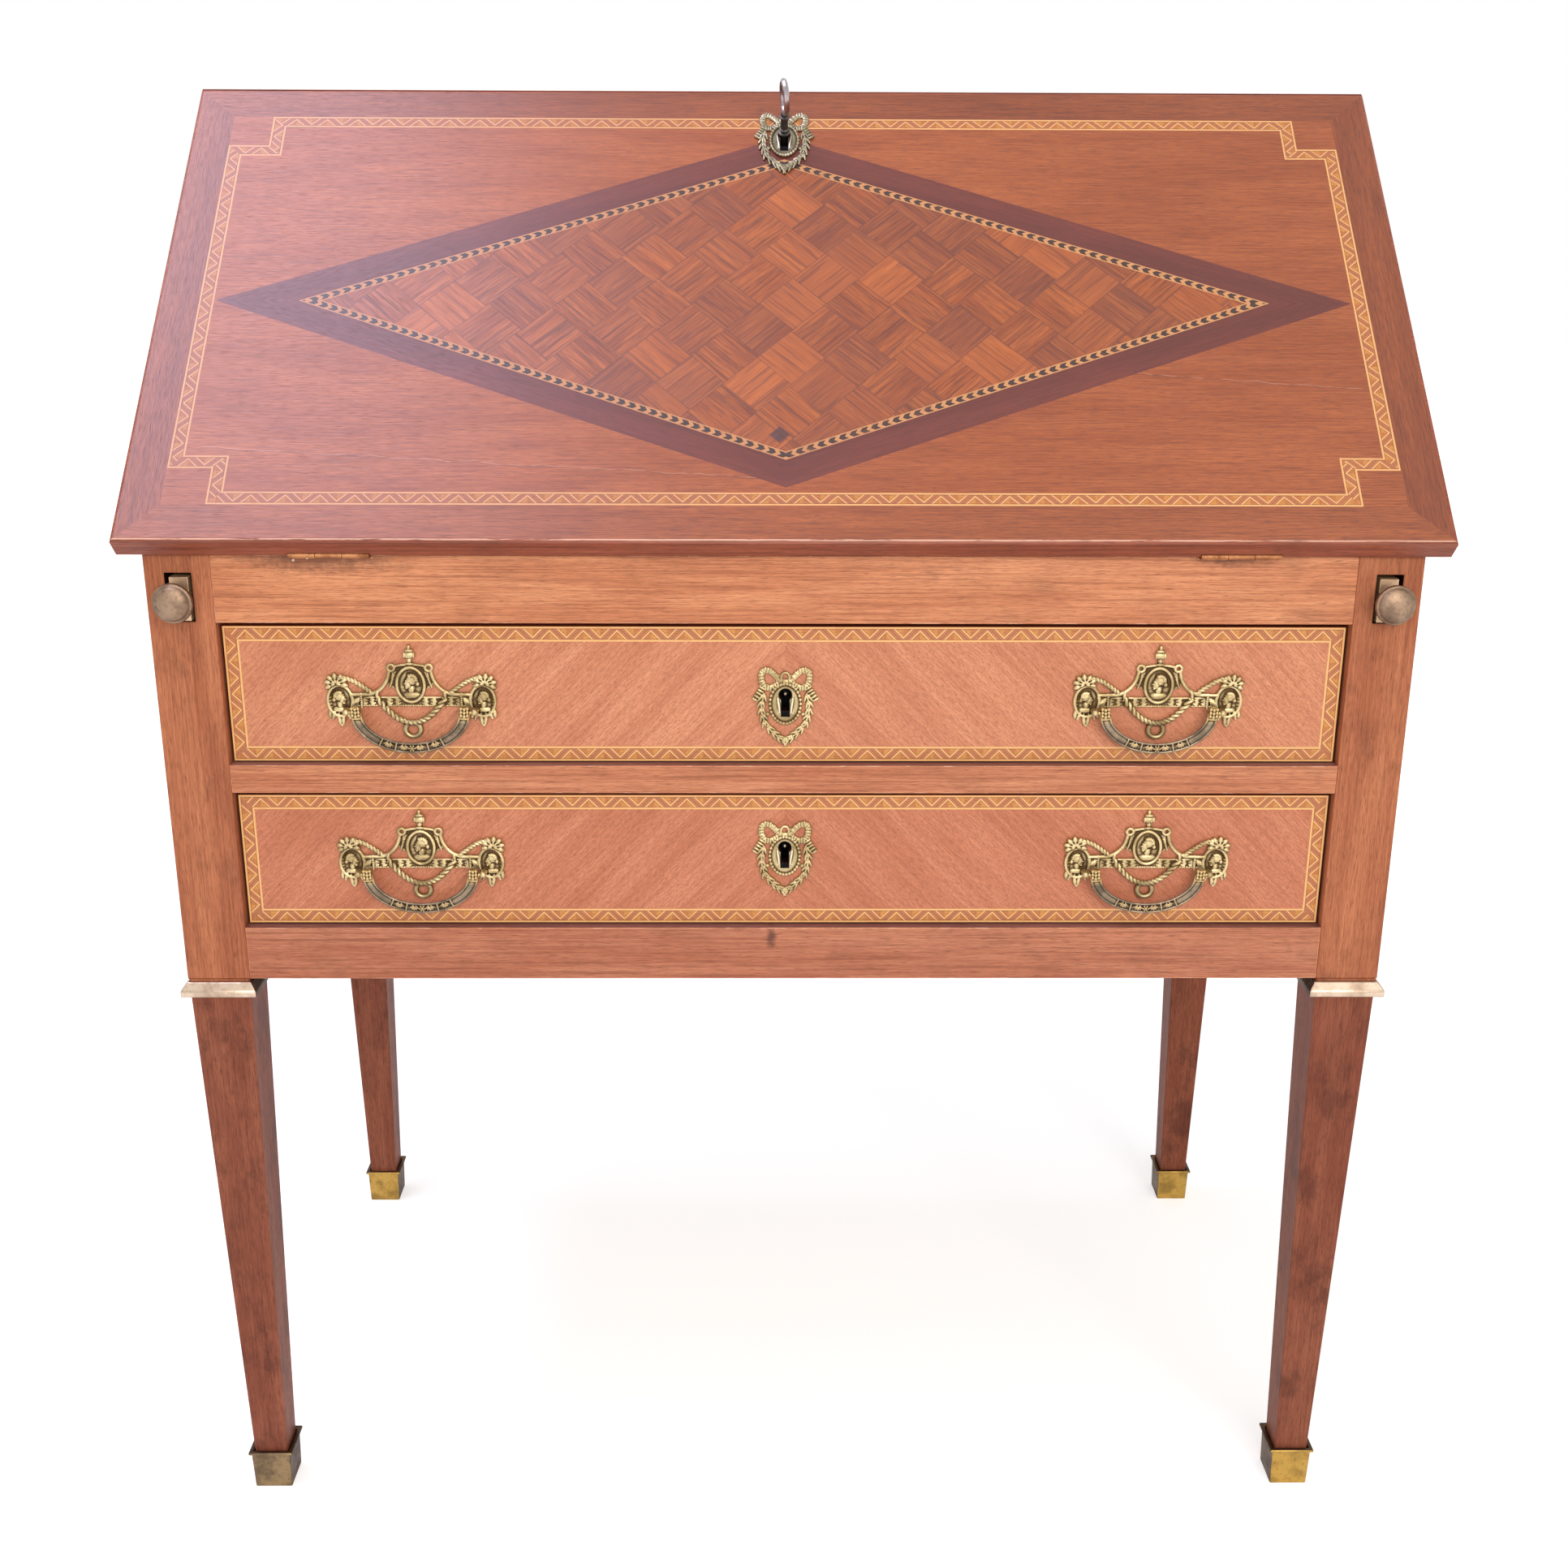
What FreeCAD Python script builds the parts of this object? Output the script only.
import FreeCAD, Part
import math
import os

# Slant-front writing desk: a case with two drawers on four tapered legs, and a sloping lid that
# folds forward onto two pull-out supports (lopers). A small gallery stands behind the lid.
# Millimetres and degrees, +Z up, the front towards -Y. Pieces are drawn with y = 0 on the front
# faces of the posts, and moved together when saved, so that the origin is on the floor below the
# middle of the whole desk.

# Case
case_width = 800.0
case_depth = 444.0
case_underside = 416.0
bottom_rail_height = 37.0
lower_opening_height = 94.0
middle_rail_height = 19.0
upper_opening_height = 93.5
top_rail_height = 43.5
post_size = 41.5
rail_depth = 30.0
side_thickness = 13.0
back_thickness = 9.0
back_inset = 6.0
bed_thickness = 12.0
top_thickness = 18.0
runner_height = 12.0
runner_width = 18.0

# Legs, collars and foot cups
leg_shoulder = 0.75
leg_end_size = 22.8
collar_size = 50.7
collar_edge_height = 4.6
collar_slope_height = 5.4
collar_drop = 2.0
cup_height = 31.4
cup_foot_size = 27.0
cup_mouth_size = 28.6
cup_lip_size = 32.3
cup_lip_height = 2.2
cup_floor = 3.0
cup_mouth_depth = 9.0
cup_wall = 1.3
collar_wall = 1.3
seat_clearance = 0.1

# Lid and top
lid_width = 828.0
lid_length = 388.0
lid_thickness = 15.0
lid_slope = 45.0
lid_edge_round = 2.4
lid_gap = 0.6
top_gap = 0.8
hinge_forward = 4.6
hinge_rise = 0.6

# Leather let into the lid's inner face
leather_side_margin = 62.0
leather_low_margin = 42.0
leather_high_margin = 82.0
leather_recess = 1.5
leather_thickness = 1.3

# Hinges
hinge_inset = 75.5
hinge_length = 50.0
hinge_leaf_width = 18.0
hinge_lid_leaf_width = 18.0
hinge_leaf_thickness = 1.5
hinge_knuckle_radius = 1.8
hinge_pin_radius = 0.8
hinge_pin_clearance = 0.05
hinge_clearance = 0.4
hinge_knuckle_share = 1.0 / 3.0

# Lopers
loper_width = 12.0
loper_height = 28.0
loper_length = 395.0
loper_inset = 1.0
loper_side_gap = 1.75
loper_running_gap = 0.3
lid_support_gap = 0.1
loper_slot_width = 17.0
loper_slot_height = 31.2
loper_cap_thickness = 1.6
loper_guide_floor = 10.0
loper_guide_gap = 1.25
knob_radius = 12.8
knob_length = 21.0
knob_edge_height = 3.0
knob_crown = 4.0
knob_neck_radius = 5.0
knob_foot_radius = 7.5
knob_foot_height = 2.5
knob_rise = 0.5

# Drawers
drawer_recess = 7.0
drawer_side_gap = 1.8
drawer_top_gap = 3.5
drawer_bottom_gap = 1.0
drawer_running_gap = 0.3
drawer_front_thickness = 20.0
drawer_length = 400.0
drawer_side_thickness = 10.0
drawer_side_drop = 5.0
drawer_back_thickness = 9.0
drawer_back_drop = 4.0
drawer_bottom_thickness = 6.0
drawer_bottom_rise = 6.0
drawer_groove_depth = 5.0

# Locks and key
lock_width = 60.0
lock_height = 64.0
lock_depth = 9.0
lock_wall = 1.2
lock_clearance = 0.2
lid_key_drop = 43.0
lower_key_rise = 8.7
bolt_width = 18.0
bolt_thickness = 3.0
bolt_throw = 6.0
bolt_setback = 0.5
bolt_clearance = 0.4
drill_pin_radius = 1.6
keyhole_radius = 3.8
keyhole_slot_width = 4.8
keyhole_reach = 11.0
key_shaft_radius = 2.8
key_bit_reach = 9.0
key_bit_thickness = 2.6
key_bit_width = 5.0
key_stem = 19.0
key_bow_length = 28.0
key_bow_width = 24.0
key_bow_rim = 4.6
key_bow_thickness = 3.2
strike_width = 40.0
strike_height = 14.0
strike_thickness = 1.2

# Escutcheons: places and radii are shares of the height, from the middle of the keyhole
escutcheon_height = 48.3
escutcheon_thickness = 2.0
oval_place_share = -0.132
oval_semi_shares = (0.178, 0.251)
wreath_place_share = -0.248
wreath_outer_shares = (0.342, 0.400)
wreath_inner_shares = (0.205, 0.290)
wreath_top_share = 0.02
bow_place_shares = (0.200, 0.232)
bow_outer_shares = (0.148, 0.120)
bow_inner_shares = (0.086, 0.062)
bow_knot_shares = (0.080, 0.130)
bow_tail_shares = ((0.27, 0.16), (0.34, 0.13), (0.42, -0.03), (0.35, -0.07))

# Drawer handles: places and radii are shares of the span, from the middle of the oval medallion
handle_inset = 117.2
upper_handle_rise = 6.8
lower_handle_rise = 9.0
handle_span = 105.0
handle_plate_thickness = 2.6
medallion_thickness = 4.0
medallion_semi_shares = (0.085, 0.112)
side_medallion_place_shares = (0.422, -0.090)
side_medallion_semi_shares = (0.072, 0.086)
cross_bar_shares = (0.36, -0.133, -0.081)
scroll_shares = ((0.36, -0.12), (0.36, -0.05), (0.26, -0.035), (0.17, 0.02), (0.135, 0.10),
                 (0.10, 0.125), (0.08, 0.10), (0.11, 0.07), (0.14, -0.01), (0.20, -0.07))
ribbon_shares = ((0.24, -0.04), (0.36, 0.02), (0.40, 0.05), (0.40, 0.00), (0.33, -0.06))
ear_place_shares = (0.112, 0.108)
ear_share = 0.028
shell_place_shares = (0.442, 0.010)
shell_share = 0.058
urn_shares = ((0.030, 0.095), (0.022, 0.125), (0.040, 0.165), (0.026, 0.185), (0.012, 0.222))
drop_shares = ((0.365, -0.15), (0.48, -0.13), (0.475, -0.215), (0.45, -0.205), (0.425, -0.262),
               (0.40, -0.205), (0.375, -0.215))
swag_place_share = -0.095
swag_outer_shares = (0.212, 0.152)
swag_inner_shares = (0.178, 0.118)
ring_place_share = -0.281
ring_outer_share = 0.058
ring_inner_share = 0.028
bail_pivot_share = -0.157
bail_outer_shares = (0.352, 0.257)
bail_inner_shares = (0.286, 0.189)
bail_thickness = 4.0
bail_reach = 8.5
bail_pin_radius = 1.3
bail_pin_length = 4.5
bail_pin_clearance = 0.05
bail_end_gap = 0.3
lug_radius = 3.2

# Gallery behind the lid
gallery_front = 290.0
gallery_shelf_thickness = 8.0
gallery_lower_height = 67.0
partition_spacing = 240.0
partition_thickness = 8.0
partition_setback = 8.0
small_drawer_setback = 11.0
small_drawer_length = 99.0
small_drawer_gap = 1.0
small_drawer_running_gap = 0.4
small_front_thickness = 9.0
small_wall = 6.0
small_bottom_thickness = 4.0
small_wall_drop = 6.0
small_knob_radius = 6.5
small_knob_length = 13.0
small_knob_neck_radius = 2.6

# One overrun serves every cut that goes right through
cut_overrun = 2.0

# Levels and places that follow from the sizes above
bottom_rail_top = case_underside + bottom_rail_height
lower_opening_top = bottom_rail_top + lower_opening_height
middle_rail_top = lower_opening_top + middle_rail_height
upper_opening_top = middle_rail_top + upper_opening_height
writing_height = upper_opening_top + top_rail_height
hinge_height = writing_height + hinge_rise
slope_sine = math.sin(math.radians(lid_slope))
slope_cosine = math.cos(math.radians(lid_slope))
top_surface = hinge_height + lid_length * slope_sine + lid_thickness * slope_cosine
top_underside = top_surface - top_thickness
half_width = case_width / 2
post_inside = half_width - post_size
post_x = half_width - post_size / 2
side_inside = half_width - side_thickness
hinge_spacing = 2 * (post_inside - hinge_inset)
drawer_front_half = post_inside - drawer_side_gap
handle_spacing = 2 * (drawer_front_half - handle_inset)
rear_post_front = case_depth - post_size
back_front = case_depth - back_inset - back_thickness
leg_top_size = post_size - 2 * leg_shoulder
collar_top = case_underside - collar_drop
collar_bottom = collar_top - collar_slope_height - collar_edge_height
loper_x = side_inside - loper_side_gap - loper_width / 2
loper_top = hinge_height - lid_thickness - lid_support_gap
loper_bottom = loper_top - loper_height
loper_slot_bottom = loper_bottom - loper_running_gap
bed_underside = writing_height - bed_thickness
gallery_shelf_bottom = writing_height + gallery_lower_height
gallery_shelf_top = gallery_shelf_bottom + gallery_shelf_thickness

# The knobs reach furthest forward and the rear collars furthest back
front_reach = knob_length - loper_inset
rear_reach = case_depth - post_size / 2 + collar_size / 2
front_plane = (front_reach - rear_reach) / 2


def vector(x, y, z):
    return FreeCAD.Vector(x, y, z)


def block(x_low, x_high, y_low, y_high, z_low, z_high):
    return Part.makeBox(x_high - x_low, y_high - y_low, z_high - z_low, vector(x_low, y_low, z_low))


def rod(radius, start, direction, length):
    return Part.makeCylinder(radius, length, vector(*start), vector(*direction))


def prism(corners, direction):
    points = [vector(*corner) for corner in corners]
    outline = Part.makePolygon(points + points[:1])
    return Part.Face(outline).extrude(vector(*direction))


def square(size, z):
    half = size / 2
    corners = [(-half, -half), (half, -half), (half, half), (-half, half)]
    points = [vector(x, y, z) for x, y in corners]
    return Part.makePolygon(points + points[:1])


def tapered(sections):
    # A solid through squares given as (size, height), with flat sides between them.
    return Part.makeLoft([square(size, z) for size, z in sections], True, True)


def oval(x, y, semi_x, semi_y, height):
    # An elliptic disc on the local plane z = 0.
    tips = [(semi_x, vector(x + semi_x, y, 0)), (semi_y, vector(x, y + semi_y, 0))]
    tips.sort(key=lambda tip: -tip[0])
    curve = Part.Ellipse(tips[0][1], tips[1][1], vector(x, y, 0))
    disc = Part.Face(Part.Wire(curve.toShape())).extrude(vector(0, 0, height))
    if disc.Volume < 0:
        disc.reverse()
    return disc


def oval_ring(x, y, outer, inner, height):
    return oval(x, y, outer[0], outer[1], height).cut(oval(x, y, inner[0], inner[1], height))


def outline_plate(corners, height):
    return prism([(x, y, 0) for x, y in corners], (0, 0, height))


def scaled(shares, size):
    return [(x * size, y * size) for x, y in shares]


def flipped(corners):
    return [(-x, y) for x, y in corners]


def joined(pieces):
    return pieces[0].fuse(pieces[1:]).removeSplitter()


def mirrored(shape):
    return shape.mirror(vector(0, 0, 0), vector(1, 0, 0))


def moved(shape, x, y, z):
    copy = shape.copy()
    copy.translate(vector(x, y, z))
    return copy


def onto_lid(shape):
    # Local x across the lid, y up the slope from the hinge axis, z out of the lid's inner face.
    copy = shape.copy()
    copy.rotate(vector(0, 0, 0), vector(1, 0, 0), lid_slope)
    return moved(copy, 0, -hinge_forward, hinge_height)


def onto_front(shape, x, y, z):
    # Local x to the right, y up and z out of the front, with the local origin at (x, y, z).
    copy = shape.copy()
    copy.rotate(vector(0, 0, 0), vector(1, 0, 0), 90)
    return moved(copy, x, y, z)


def below_lid_y(z):
    # Where the plane a gap below the lid's inner face lies at a given height.
    along = (z - hinge_height + lid_gap * slope_cosine) / slope_sine
    return -hinge_forward + along * slope_cosine + lid_gap * slope_sine


def below_lid_z(y):
    along = (y + hinge_forward - lid_gap * slope_sine) / slope_cosine
    return hinge_height + along * slope_sine - lid_gap * slope_cosine


def above_lid_y(z):
    # Where the plane a gap beyond the lid's upper end lies at a given height.
    along = lid_length + top_gap
    outward = (z - hinge_height - along * slope_sine) / slope_cosine
    return -hinge_forward + along * slope_cosine - outward * slope_sine


def save(node, *solids):
    placed = [moved(solid, 0, front_plane, 0) for solid in solids]
    shape = placed[0] if len(placed) == 1 else Part.makeCompound(placed)
    shape.exportStep(f"parts/{node}.step")


def post_with_leg(top):
    # One corner of the case: the square post, its neck in the collar and the tapered leg.
    half = post_size / 2
    neck_half = leg_top_size / 2
    post = block(-half, half, -half, half, case_underside, top)
    neck = block(-neck_half, neck_half, -neck_half, neck_half, collar_bottom, case_underside)
    leg = tapered([(leg_end_size, cup_floor), (leg_top_size, collar_bottom)])
    return joined([post, neck, leg])


def leg_size_at(z):
    return leg_end_size + (leg_top_size - leg_end_size) * (z - cup_floor) / (collar_bottom - cup_floor)


def leg_collar():
    inside = leg_top_size + 2 * seat_clearance
    edge_top = collar_bottom + collar_edge_height
    bore_height = collar_top - collar_bottom + 2 * cut_overrun
    body = tapered([(collar_size, collar_bottom), (collar_size, edge_top)])
    slope = tapered([(collar_size, edge_top), (inside + 2 * collar_wall, collar_top)])
    bore = block(-inside / 2, inside / 2, -inside / 2, inside / 2, 0, bore_height)
    return joined([body, slope]).cut(moved(bore, 0, 0, collar_bottom - cut_overrun))


def leg_cup():
    lip_bottom = cup_height - cup_lip_height
    body = tapered([(cup_foot_size, 0), (cup_mouth_size, lip_bottom)])
    lip = tapered([(cup_lip_size, lip_bottom), (cup_lip_size, cup_height)])
    shell = joined([body, lip])
    socket_top = cup_height + cut_overrun
    socket = tapered([
        (leg_size_at(cup_floor) + 2 * seat_clearance, cup_floor),
        (leg_size_at(socket_top) + 2 * seat_clearance, socket_top)])
    mouth_half = cup_mouth_size / 2 - cup_wall
    mouth_low = cup_height - cup_mouth_depth
    mouth = block(-mouth_half, mouth_half, -mouth_half, mouth_half, mouth_low, socket_top)
    return shell.cut(socket).cut(mouth)


def at_corners(shape):
    front_y = post_size / 2
    rear_y = case_depth - post_size / 2
    return [moved(shape, x, y, 0) for y in (front_y, rear_y) for x in (-post_x, post_x)]


def make_legs():
    front = moved(post_with_leg(writing_height), post_x, post_size / 2, 0)
    slot_half = loper_slot_width / 2
    slot = block(loper_x - slot_half, loper_x + slot_half, -cut_overrun, post_size + cut_overrun,
                 loper_slot_bottom, loper_slot_bottom + loper_slot_height)
    front = front.cut(slot)
    rear = moved(post_with_leg(top_underside), post_x, case_depth - post_size / 2, 0)
    save("front_right_leg", front)
    save("front_left_leg", mirrored(front))
    save("rear_right_leg", rear)
    save("rear_left_leg", mirrored(rear))
    save("leg_collars", *at_corners(leg_collar()))
    save("leg_cups", *at_corners(leg_cup()))


def make_rails():
    bottom = block(-post_inside, post_inside, 0, rail_depth, case_underside, bottom_rail_top)
    middle = block(-post_inside, post_inside, 0, rail_depth, lower_opening_top, middle_rail_top)
    top = block(-post_inside, post_inside, 0, rail_depth, upper_opening_top, writing_height)
    middle = middle.cut(drawer_bolt_mortise(lower_opening_top))
    top = top.cut(drawer_bolt_mortise(upper_opening_top))
    for side in (-1, 1):
        top = top.cut(hinge_rail_recess(side * hinge_spacing / 2))
    save("bottom_rail", bottom)
    save("middle_rail", middle)
    save("top_rail", top)


def drawer_bolt_mortise(opening_top):
    # The slot that a drawer's lock bolt is thrown up into.
    half = bolt_width / 2 + bolt_clearance
    inner = drawer_recess + drawer_front_thickness - lock_wall + bolt_clearance
    outer = drawer_recess + drawer_front_thickness - lock_depth
    top = opening_top + bolt_throw
    return block(-half, half, outer, inner, opening_top - cut_overrun, top)


def make_side_panels():
    corners = [(post_size, case_underside), (rear_post_front, case_underside),
               (rear_post_front, top_underside), (below_lid_y(top_underside), top_underside),
               (0, below_lid_z(0)),
               (0, writing_height), (post_size, writing_height)]
    panel = prism([(side_inside, y, z) for y, z in corners], (side_thickness, 0, 0))
    save("right_side_panel", panel)
    save("left_side_panel", mirrored(panel))


def make_back_and_top():
    back = block(-post_inside, post_inside, back_front, back_front + back_thickness,
                 case_underside, top_underside)
    half = lid_width / 2
    corners = [(above_lid_y(top_surface), top_surface), (case_depth, top_surface),
               (case_depth, top_underside), (above_lid_y(top_underside), top_underside)]
    board = prism([(-half, y, z) for y, z in corners], (lid_width, 0, 0))
    board = board.cut(onto_lid(strike_recess())).cut(onto_lid(lid_bolt_mortise()))
    save("back_panel", back)
    save("top_board", board)
    save("lid_strike_plate", onto_lid(strike_plate()))


def lid_bolt_levels():
    low, high = bolt_levels()
    return low + lock_clearance, high + lock_clearance


def lid_bolt_mortise():
    low, high = lid_bolt_levels()
    half = bolt_width / 2 + bolt_clearance
    tip = lid_length + bolt_throw - bolt_setback + bolt_clearance
    return block(-half, half, lid_length, tip, low - bolt_clearance, high + bolt_clearance)


def strike_plate():
    low, high = lid_bolt_levels()
    middle = (low + high) / 2
    start = lid_length + top_gap
    plate = block(-strike_width / 2, strike_width / 2, start, start + strike_thickness,
                  middle - strike_height / 2, middle + strike_height / 2)
    return plate.cut(lid_bolt_mortise())


def strike_recess():
    low, high = lid_bolt_levels()
    middle = (low + high) / 2
    start = lid_length + top_gap
    half = strike_width / 2 + seat_clearance
    reach = strike_height / 2 + seat_clearance
    return block(-half, half, start - cut_overrun, start + strike_thickness, middle - reach, middle + reach)


def make_bed_and_supports():
    corners = [(post_inside, rail_depth), (post_inside, post_size), (side_inside, post_size),
               (side_inside, rear_post_front), (post_inside, rear_post_front), (post_inside, back_front)]
    outline = corners + [(-x, y) for x, y in reversed(corners)]
    bed = prism([(x, y, bed_underside) for x, y in outline], (0, 0, bed_thickness))
    save("writing_bed", bed)
    save("lower_drawer_runners", *drawer_runners(bottom_rail_top))
    save("upper_drawer_runners", *drawer_runners(middle_rail_top))
    save("loper_guides", *loper_guides())


def drawer_runners(top):
    inside = post_inside - runner_width
    corners = [(inside, rail_depth), (post_inside, rail_depth), (post_inside, post_size),
               (side_inside, post_size), (side_inside, rear_post_front), (inside, rear_post_front)]
    runner = prism([(x, y, top - runner_height) for x, y in corners], (0, 0, runner_height))
    return runner, mirrored(runner)


def loper_guides():
    wall_outside = loper_x - loper_width / 2 - loper_guide_gap
    floor_top = loper_bottom - loper_running_gap
    wall = block(post_inside, wall_outside, post_size, rear_post_front,
                 floor_top - loper_guide_floor, bed_underside)
    floor = block(wall_outside, side_inside, post_size, rear_post_front,
                  floor_top - loper_guide_floor, floor_top)
    guide = joined([wall, floor])
    return guide, mirrored(guide)


def hinge_spans():
    # The three knuckles along a hinge: rail, lid, rail, with a small gap beside the middle one.
    third = hinge_length * hinge_knuckle_share
    gap = hinge_clearance / 2
    low = -hinge_length / 2
    return (low, low + third - gap), (low + third + gap, -low - third - gap), (-low - third + gap, -low)


def hinge_rail_leaf():
    first, middle, last = hinge_spans()
    low = hinge_rise + hinge_leaf_thickness
    back = hinge_forward + hinge_leaf_width
    clear = hinge_knuckle_radius + hinge_clearance
    pieces = [block(first[0], last[1], clear, back, -low, -hinge_rise)]
    for start, end in (first, last):
        pieces.append(block(start, end, 0, back, -low, -hinge_rise))
        pieces.append(rod(hinge_knuckle_radius, (start, 0, 0), (1, 0, 0), end - start))
    hole = rod(hinge_pin_radius + hinge_pin_clearance, (first[0], 0, 0), (1, 0, 0), hinge_length)
    return joined(pieces).cut(hole)


def hinge_rail_recess(x):
    half = hinge_length / 2 + seat_clearance
    back = hinge_leaf_width + seat_clearance
    return block(x - half, x + half, -cut_overrun, back,
                 writing_height - hinge_leaf_thickness, writing_height + cut_overrun)


def hinge_lid_leaf():
    first, middle, last = hinge_spans()
    clear = hinge_knuckle_radius + hinge_clearance
    pieces = [block(first[0], last[1], clear, hinge_lid_leaf_width, 0, hinge_leaf_thickness)]
    pieces.append(block(middle[0], middle[1], 0, hinge_lid_leaf_width, 0, hinge_leaf_thickness))
    pieces.append(rod(hinge_knuckle_radius, (middle[0], 0, 0), (1, 0, 0), middle[1] - middle[0]))
    hole = rod(hinge_pin_radius + hinge_pin_clearance, (first[0], 0, 0), (1, 0, 0), hinge_length)
    return joined(pieces).cut(hole)


def hinge_lid_recess():
    half = hinge_length / 2 + hinge_clearance
    clear = hinge_knuckle_radius + hinge_clearance
    knuckle = rod(clear, (-half, 0, 0), (1, 0, 0), 2 * half)
    leaf = block(-half, half, 0, hinge_lid_leaf_width + seat_clearance, -cut_overrun, hinge_leaf_thickness)
    return knuckle.fuse(leaf)


def make_hinges():
    pin = rod(hinge_pin_radius, (-hinge_length / 2, 0, 0), (1, 0, 0), hinge_length)
    places = (-hinge_spacing / 2, hinge_spacing / 2)
    rail_leaf = moved(hinge_rail_leaf(), 0, -hinge_forward, hinge_height)
    save("hinge_rail_leaves", *[moved(rail_leaf, x, 0, 0) for x in places])
    save("hinge_lid_leaves", *[onto_lid(moved(hinge_lid_leaf(), x, 0, 0)) for x in places])
    save("hinge_pins", *[moved(pin, x, -hinge_forward, hinge_height) for x in places])


def keyhole(x, y, low, high, margin):
    # A cutter for the round of a keyhole and the slot below it.
    half = keyhole_slot_width / 2 + margin
    hole = rod(keyhole_radius + margin, (x, y, low), (0, 0, 1), high - low)
    slot = block(x - half, x + half, y - keyhole_reach - margin, y, low, high)
    return hole.fuse(slot)


def lock_case(key_drop):
    # Local x across, y up to the lock's edge at 0, z from its back towards the keyhole.
    half = lock_width / 2
    low, high = bolt_levels()
    body = block(-half, half, -lock_height, 0, 0, lock_depth)
    inside = half - lock_wall
    room = block(-inside, inside, lock_wall - lock_height, -lock_wall, lock_wall, lock_depth - lock_wall)
    slot_half = bolt_width / 2 + bolt_clearance
    slot = block(-slot_half, slot_half, -lock_wall - cut_overrun, cut_overrun,
                 low - bolt_clearance, high + bolt_clearance)
    hole = keyhole(0, -key_drop, lock_depth - lock_wall - cut_overrun, lock_depth + cut_overrun, 0)
    return body.cut(room).cut(slot).cut(hole)


def bolt_levels():
    return lock_wall + bolt_clearance, lock_wall + bolt_clearance + bolt_thickness


def lock_bolt(key_drop):
    low, high = bolt_levels()
    half = bolt_width / 2
    tail = -key_drop + key_bit_reach + bolt_clearance
    return block(-half, half, tail, -bolt_setback, low, high)


def lock_mortise(depth):
    half = lock_width / 2 + lock_clearance
    return block(-half, half, -lock_height - lock_clearance, cut_overrun, -cut_overrun, depth)


def lid_key():
    # Local origin on the key's axis at the lid's inner face, z out through the lid.
    low = lock_clearance + lock_wall + bolt_clearance
    stem_top = lid_thickness + key_stem
    shaft = rod(key_shaft_radius, (0, 0, low), (0, 0, 1), stem_top + key_bow_rim / 2 - low)
    half = key_bit_thickness / 2
    bit = block(-half, half, -key_bit_reach, 0, low, low + key_bit_width)
    outer = (key_bow_length / 2, key_bow_width / 2)
    inner = (outer[0] - key_bow_rim, outer[1] - key_bow_rim)
    bow = oval_ring(0, 0, outer, inner, key_bow_thickness)
    bow = moved(bow, 0, 0, -key_bow_thickness / 2)
    bow.rotate(vector(0, 0, 0), vector(0, 1, 0), -90)
    bow = moved(bow, 0, 0, stem_top + outer[0])
    return joined([shaft, bit, bow])


def escutcheon():
    # A beaded oval with the keyhole, a laurel wreath below it and a ribbon bow above.
    size = escutcheon_height
    thickness = escutcheon_thickness
    semi_x, semi_y = [share * size for share in oval_semi_shares]
    shield = oval(0, oval_place_share * size, semi_x, semi_y, thickness)
    outer = [share * size for share in wreath_outer_shares]
    inner = [share * size for share in wreath_inner_shares]
    wreath = oval_ring(0, wreath_place_share * size, outer, inner, thickness)
    wreath = wreath.cut(block(-size, size, wreath_top_share * size, size, -thickness, 2 * thickness))
    pieces = [shield, wreath]
    loop_outer = [share * size for share in bow_outer_shares]
    loop_inner = [share * size for share in bow_inner_shares]
    for side in (-1, 1):
        x = side * bow_place_shares[0] * size
        pieces.append(oval_ring(x, bow_place_shares[1] * size, loop_outer, loop_inner, thickness))
        tail = scaled(bow_tail_shares, size)
        pieces.append(outline_plate(tail if side > 0 else flipped(tail), thickness))
    knot = [share * size for share in bow_knot_shares]
    pieces.append(oval(0, bow_place_shares[1] * size, knot[0], knot[1], thickness))
    return joined(pieces).cut(keyhole(0, 0, -cut_overrun, thickness + cut_overrun, 0))


def make_lid():
    half = lid_width / 2
    panel = block(-half, half, 0, lid_length, 0, lid_thickness)
    rim = [edge for edge in panel.Edges if edge.BoundBox.ZMin > lid_thickness / 2]
    panel = panel.makeFillet(lid_edge_round, rim)
    for x in (-hinge_spacing / 2, hinge_spacing / 2):
        panel = panel.cut(moved(hinge_lid_recess(), x, 0, 0))
    key_y = lid_length - lid_key_drop
    panel = panel.cut(moved(lock_mortise(lock_clearance + lock_depth), 0, lid_length, 0))
    panel = panel.cut(keyhole(0, key_y, lock_depth, lid_thickness + cut_overrun, 0))
    leather_x = half - leather_side_margin
    leather_end = lid_length - leather_high_margin
    recess = block(-leather_x, leather_x, leather_low_margin, leather_end, -cut_overrun, leather_recess)
    leather = block(-leather_x, leather_x, leather_low_margin, leather_end,
                    leather_recess - leather_thickness, leather_recess)
    lock_place = (0, lid_length, lock_clearance)
    save("lid_panel", onto_lid(panel.cut(recess)))
    save("lid_leather", onto_lid(leather))
    save("lid_lock_case", onto_lid(moved(lock_case(lid_key_drop), *lock_place)))
    save("lid_lock_bolt", onto_lid(moved(lock_bolt(lid_key_drop), *lock_place)))
    save("lid_escutcheon", onto_lid(moved(escutcheon(), 0, key_y, lid_thickness)))
    save("lid_key", onto_lid(moved(lid_key(), 0, key_y, 0)))


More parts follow.
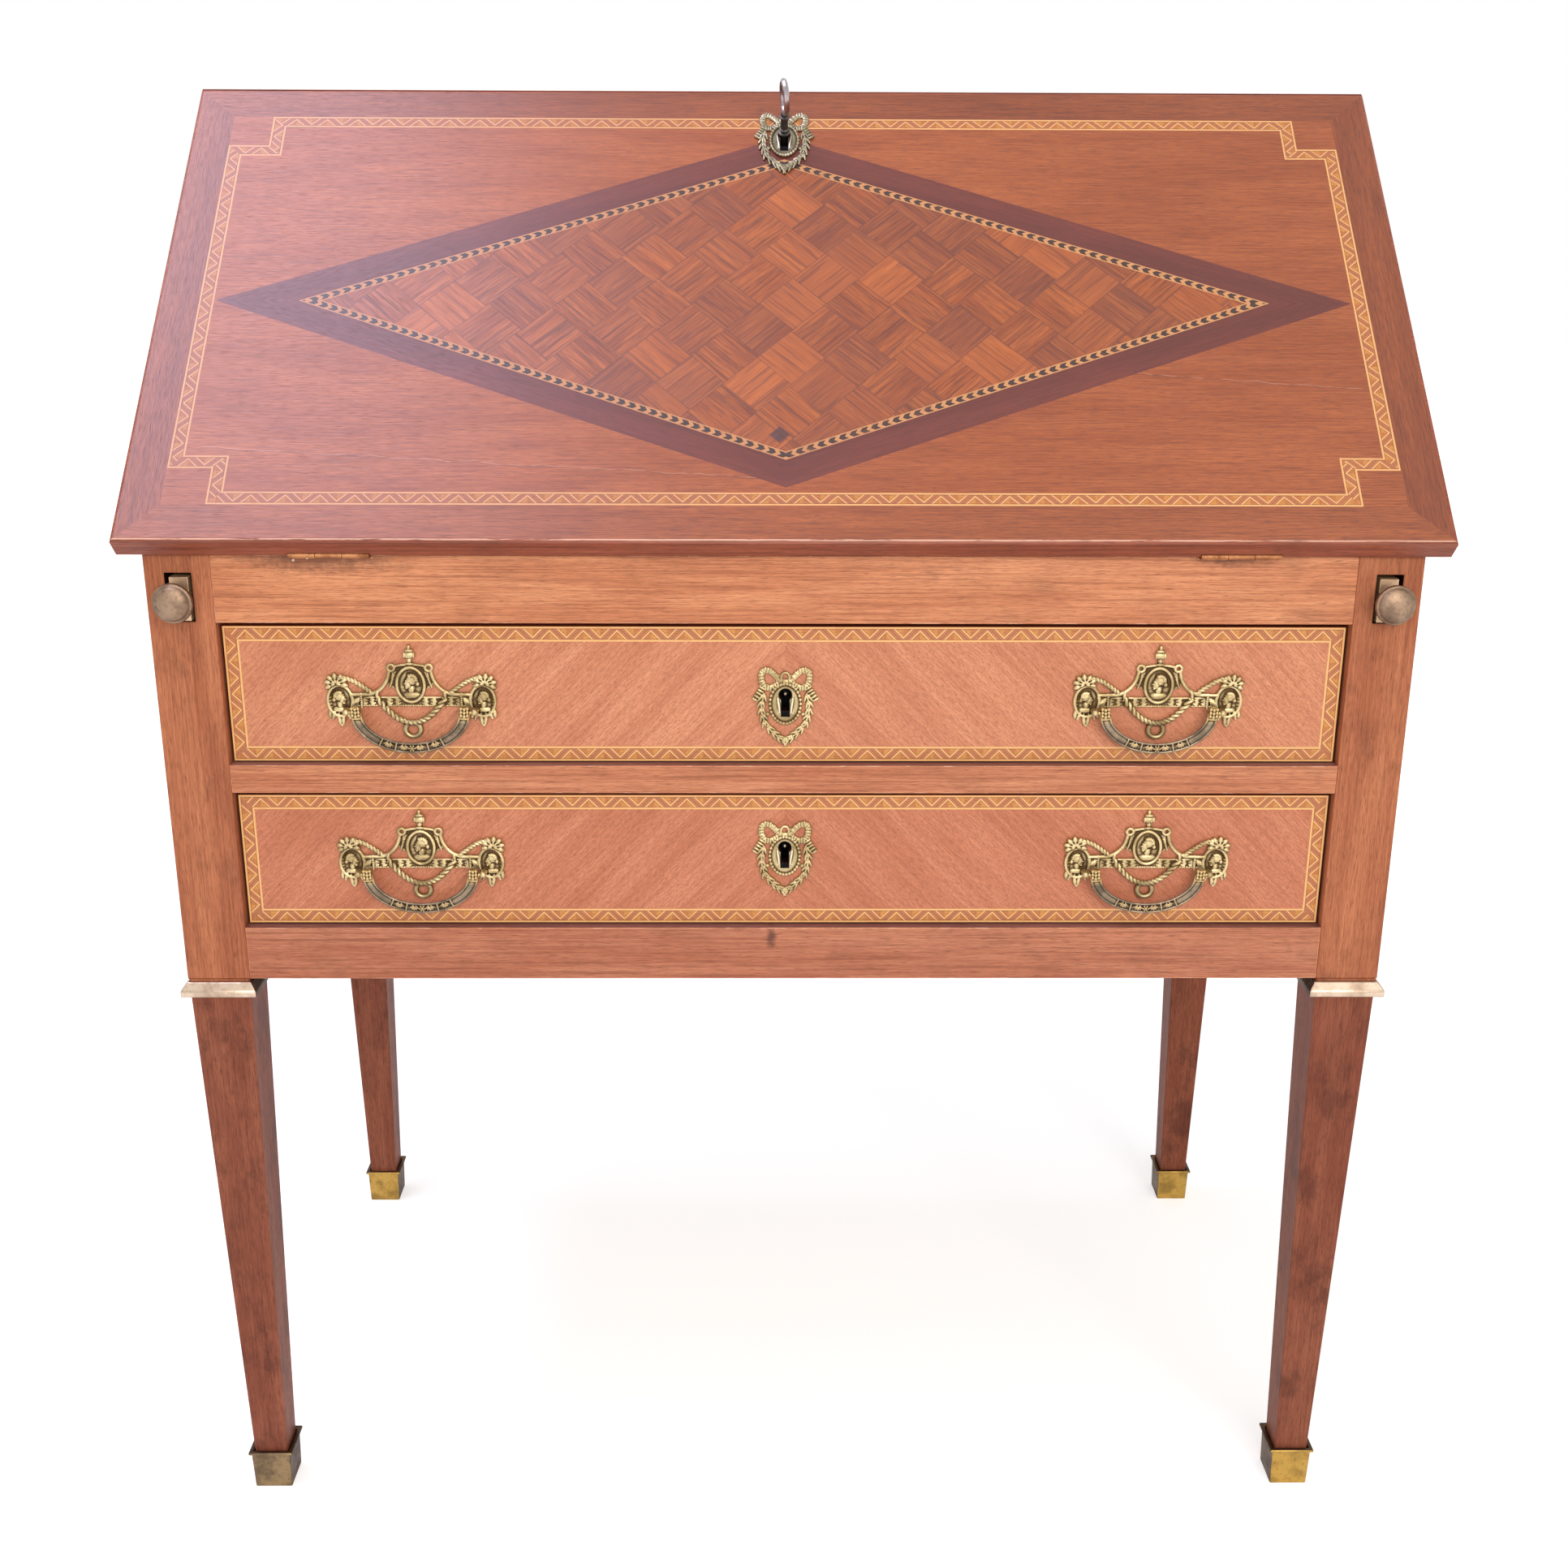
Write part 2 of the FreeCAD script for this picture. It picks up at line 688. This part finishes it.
def loper_knob():
    # A turned knob: foot, neck, flat rim and a low crown. Local z points out of the front.
    rim_low = knob_length - knob_crown - knob_edge_height
    rim_high = knob_length - knob_crown
    profile = [(0, 0), (knob_foot_radius, 0), (knob_foot_radius, knob_foot_height),
               (knob_neck_radius, knob_foot_height), (knob_neck_radius, rim_low),
               (knob_radius, rim_low), (knob_radius, rim_high)]
    lines = [Part.LineSegment(vector(*start, 0), vector(*end, 0)).toShape()
             for start, end in zip(profile, profile[1:])]
    ball = (knob_radius ** 2 + knob_crown ** 2) / (2 * knob_crown)
    turn = math.asin(knob_radius / ball) / 2
    crown_mid = vector(ball * math.sin(turn), knob_length - ball + ball * math.cos(turn), 0)
    crown = Part.Arc(vector(knob_radius, rim_high, 0), crown_mid, vector(0, knob_length, 0)).toShape()
    axis = Part.LineSegment(vector(0, knob_length, 0), vector(0, 0, 0)).toShape()
    face = Part.Face(Part.Wire(lines + [crown, axis]))
    knob = face.revolve(vector(0, 0, 0), vector(0, 1, 0), 360)
    knob.rotate(vector(0, 0, 0), vector(1, 0, 0), 90)
    return knob


def make_lopers():
    half = loper_width / 2
    cap_back = loper_inset + loper_cap_thickness
    bar = block(loper_x - half, loper_x + half, cap_back, loper_inset + loper_length, loper_bottom, loper_top)
    cap = block(loper_x - half, loper_x + half, loper_inset, cap_back, loper_bottom, loper_top)
    knob_z = (loper_bottom + loper_top) / 2 + knob_rise
    knob = onto_front(loper_knob(), loper_x, loper_inset, knob_z)
    for side, turn in (("right", lambda shape: shape), ("left", mirrored)):
        save(f"{side}_loper_bar", turn(bar))
        save(f"{side}_loper_cap", turn(cap))
        save(f"{side}_loper_knob", turn(knob))


def handle_plate():
    # The cast back plate of a drawer handle, with a lug for the bail on each side.
    size = handle_span
    thin = handle_plate_thickness
    bar_half, bar_low, bar_high = [share * size for share in cross_bar_shares]
    semi_x, semi_y = [share * size for share in medallion_semi_shares]
    pieces = [oval(0, 0, semi_x, semi_y, medallion_thickness)]
    pieces.append(block(-bar_half, bar_half, bar_low, bar_high, 0, thin))
    urn = scaled(urn_shares, size)
    pieces.append(outline_plate(urn + flipped(urn)[::-1], thin))
    side_x, side_y = [share * size for share in side_medallion_place_shares]
    semi_x, semi_y = [share * size for share in side_medallion_semi_shares]
    for side in (-1, 1):
        pieces.append(oval(side * side_x, side_y, semi_x, semi_y, medallion_thickness))
        for shares in (scroll_shares, ribbon_shares, drop_shares):
            corners = scaled(shares, size)
            pieces.append(outline_plate(corners if side > 0 else flipped(corners), thin))
        ear_x, ear_y = [share * size for share in ear_place_shares]
        pieces.append(rod(ear_share * size, (side * ear_x, ear_y, 0), (0, 0, 1), thin))
        shell_x, shell_y = [share * size for share in shell_place_shares]
        pieces.append(rod(shell_share * size, (side * shell_x, shell_y, 0), (0, 0, 1), thin))
        pieces.append(bail_lug(side))
    pieces.append(handle_swag())
    plate = joined(pieces)
    for side in (-1, 1):
        plate = plate.cut(bail_lug_bore(side))
    return plate


def handle_swag():
    size = handle_span
    outer = [share * size for share in swag_outer_shares]
    inner = [share * size for share in swag_inner_shares]
    swag = oval_ring(0, swag_place_share * size, outer, inner, handle_plate_thickness)
    upper = block(-size, size, swag_place_share * size, size, -size, size)
    ring_y = ring_place_share * size
    ring = rod(ring_outer_share * size, (0, ring_y, 0), (0, 0, 1), handle_plate_thickness)
    hole = rod(ring_inner_share * size, (0, ring_y, 0), (0, 0, 1), handle_plate_thickness)
    return swag.cut(upper).fuse(ring).cut(hole)


def bail_lug_start():
    return bail_outer_shares[0] * handle_span + bail_end_gap


def bail_lug(side):
    start = bail_lug_start()
    pivot_y = bail_pivot_share * handle_span
    reach = bail_pin_length + bail_end_gap
    barrel = rod(lug_radius, (start, pivot_y, bail_reach), (1, 0, 0), reach)
    web = block(start, start + reach, pivot_y - lug_radius, pivot_y + lug_radius, 0, bail_reach)
    lug = barrel.fuse(web)
    return lug if side > 0 else mirrored(lug)


def bail_lug_bore(side):
    pivot_y = bail_pivot_share * handle_span
    start = bail_lug_start() - cut_overrun
    length = cut_overrun + bail_pin_length + bail_pin_clearance
    bore = rod(bail_pin_radius + bail_pin_clearance, (start, pivot_y, bail_reach), (1, 0, 0), length)
    return bore if side > 0 else mirrored(bore)


def handle_bail():
    # The lower half of an oval ring that hangs from round pins, drawn hanging straight down.
    size = handle_span
    pivot_y = bail_pivot_share * size
    outer = [share * size for share in bail_outer_shares]
    inner = [share * size for share in bail_inner_shares]
    back = bail_reach - bail_thickness / 2
    ring = moved(oval_ring(0, pivot_y, outer, inner, bail_thickness), 0, 0, back)
    bow = ring.cut(block(-size, size, pivot_y, size, -size, size))
    pieces = [bow]
    for side in (-1, 1):
        end = rod(bail_thickness / 2, (inner[0], pivot_y, bail_reach), (1, 0, 0), outer[0] - inner[0])
        pin = rod(bail_pin_radius, (outer[0], pivot_y, bail_reach), (1, 0, 0), bail_pin_length)
        pieces += [end, pin] if side > 0 else [mirrored(end), mirrored(pin)]
    return joined(pieces)


def drawer_front(bottom, top, lock_top, key_drop):
    half = drawer_front_half
    back = drawer_recess + drawer_front_thickness
    front = block(-half, half, drawer_recess, back, bottom, top)
    groove_low = drawer_groove_low(bottom)
    inside = half - drawer_side_thickness + drawer_groove_depth
    groove = block(-inside, inside, back - drawer_groove_depth, back + cut_overrun,
                   groove_low, groove_low + drawer_bottom_thickness)
    mortise = onto_front(lock_mortise(lock_depth + lock_clearance), 0, back, lock_top)
    hole = onto_front(keyhole(0, -key_drop, 0, drawer_front_thickness + cut_overrun, 0), 0, back, lock_top)
    return front.cut(groove).cut(mortise).cut(hole)


def drawer_groove_low(front_bottom):
    return front_bottom - drawer_bottom_gap + drawer_running_gap + drawer_bottom_rise


def make_drawer(name, opening_bottom, opening_top, key_rise, handle_rise):
    bottom = opening_bottom + drawer_bottom_gap
    top = opening_top - drawer_top_gap
    middle = (bottom + top) / 2
    back_of_front = drawer_recess + drawer_front_thickness
    end = drawer_recess + drawer_length
    half = drawer_front_half
    inside = half - drawer_side_thickness
    side_low = opening_bottom + drawer_running_gap
    side_top = top - drawer_side_drop
    groove_low = drawer_groove_low(bottom)
    board_top = groove_low + drawer_bottom_thickness
    board_half = inside + drawer_groove_depth
    board = block(-board_half, board_half, back_of_front - drawer_groove_depth, end, groove_low, board_top)
    side = block(inside, half, back_of_front, end, side_low, side_top).cut(board)
    back = block(-inside, inside, end - drawer_back_thickness, end, board_top, side_top - drawer_back_drop)
    key_drop = top - middle - key_rise
    lock_place = (0, back_of_front - lock_clearance, top)
    save(f"{name}_drawer_front", drawer_front(bottom, top, top, key_drop))
    save(f"{name}_drawer_sides", side, mirrored(side))
    save(f"{name}_drawer_back", back)
    save(f"{name}_drawer_bottom", board)
    lock = lock_case(key_drop).fuse(drill_pin(key_drop))
    save(f"{name}_drawer_lock", onto_front(lock, *lock_place))
    save(f"{name}_drawer_lock_bolt", onto_front(lock_bolt(key_drop), *lock_place))
    save(f"{name}_drawer_escutcheon", onto_front(escutcheon(), 0, drawer_recess, middle + key_rise))
    for hand, x in (("left", -handle_spacing / 2), ("right", handle_spacing / 2)):
        place = (x, drawer_recess, middle + handle_rise)
        save(f"{name}_{hand}_handle_plate", onto_front(handle_plate(), *place))
        save(f"{name}_{hand}_bail", onto_front(handle_bail(), *place))


def drill_pin(key_drop):
    # The round pin that a hollow key turns on.
    return rod(drill_pin_radius, (0, -key_drop, lock_wall), (0, 0, 1), lock_depth - 2 * lock_wall)


def make_gallery():
    corners = [(side_inside, gallery_front), (side_inside, rear_post_front), (post_inside, rear_post_front),
               (post_inside, back_front)]
    outline = corners + [(-x, y) for x, y in reversed(corners)]
    shelf = prism([(x, y, gallery_shelf_bottom) for x, y in outline], (0, 0, gallery_shelf_thickness))
    front = gallery_front + partition_setback
    x = partition_spacing / 2
    half = partition_thickness / 2
    boards = []
    for low, high in ((writing_height, gallery_shelf_bottom), (gallery_shelf_top, top_underside)):
        board = block(x - half, x + half, front, back_front, low, high)
        boards += [board, mirrored(board)]
    save("gallery_shelf", shelf)
    save("gallery_partitions", *boards)


def make_small_drawers():
    # Each small drawer is a box of six solids: front, two sides, back, bottom and a turned knob.
    left = partition_spacing / 2 + partition_thickness / 2 + small_drawer_gap
    right = side_inside - small_drawer_gap
    low = writing_height + small_drawer_running_gap
    high = gallery_shelf_bottom - small_drawer_gap
    start = gallery_front + small_drawer_setback
    end = start + small_drawer_length
    inner_start = start + small_front_thickness
    wall_top = high - small_wall_drop
    floor_top = low + small_bottom_thickness
    solids = [
        block(left, right, start, inner_start, low, high),
        block(left, left + small_wall, inner_start, end, low, wall_top),
        block(right - small_wall, right, inner_start, end, low, wall_top),
        block(left + small_wall, right - small_wall, end - small_wall, end, low, wall_top),
        block(left + small_wall, right - small_wall, inner_start, end - small_wall, low, floor_top),
        onto_front(small_knob(), (left + right) / 2, start, (low + high) / 2)]
    save("right_small_drawer", *solids)
    save("left_small_drawer", *[mirrored(solid) for solid in solids])


def small_knob():
    neck = rod(small_knob_neck_radius, (0, 0, 0), (0, 0, 1), small_knob_length - small_knob_radius)
    ball = Part.makeSphere(small_knob_radius, vector(0, 0, small_knob_length - small_knob_radius))
    return joined([neck, ball])


os.makedirs("parts", exist_ok=True)
make_legs()
make_rails()
make_side_panels()
make_back_and_top()
make_bed_and_supports()
make_hinges()
make_lid()
make_lopers()
make_drawer("upper", middle_rail_top, upper_opening_top, 0, upper_handle_rise)
make_drawer("lower", bottom_rail_top, lower_opening_top, lower_key_rise, lower_handle_rise)
make_gallery()
make_small_drawers()
print("front plane at y", round(front_plane, 3))
print("writing height", writing_height, "top", round(top_surface, 2))
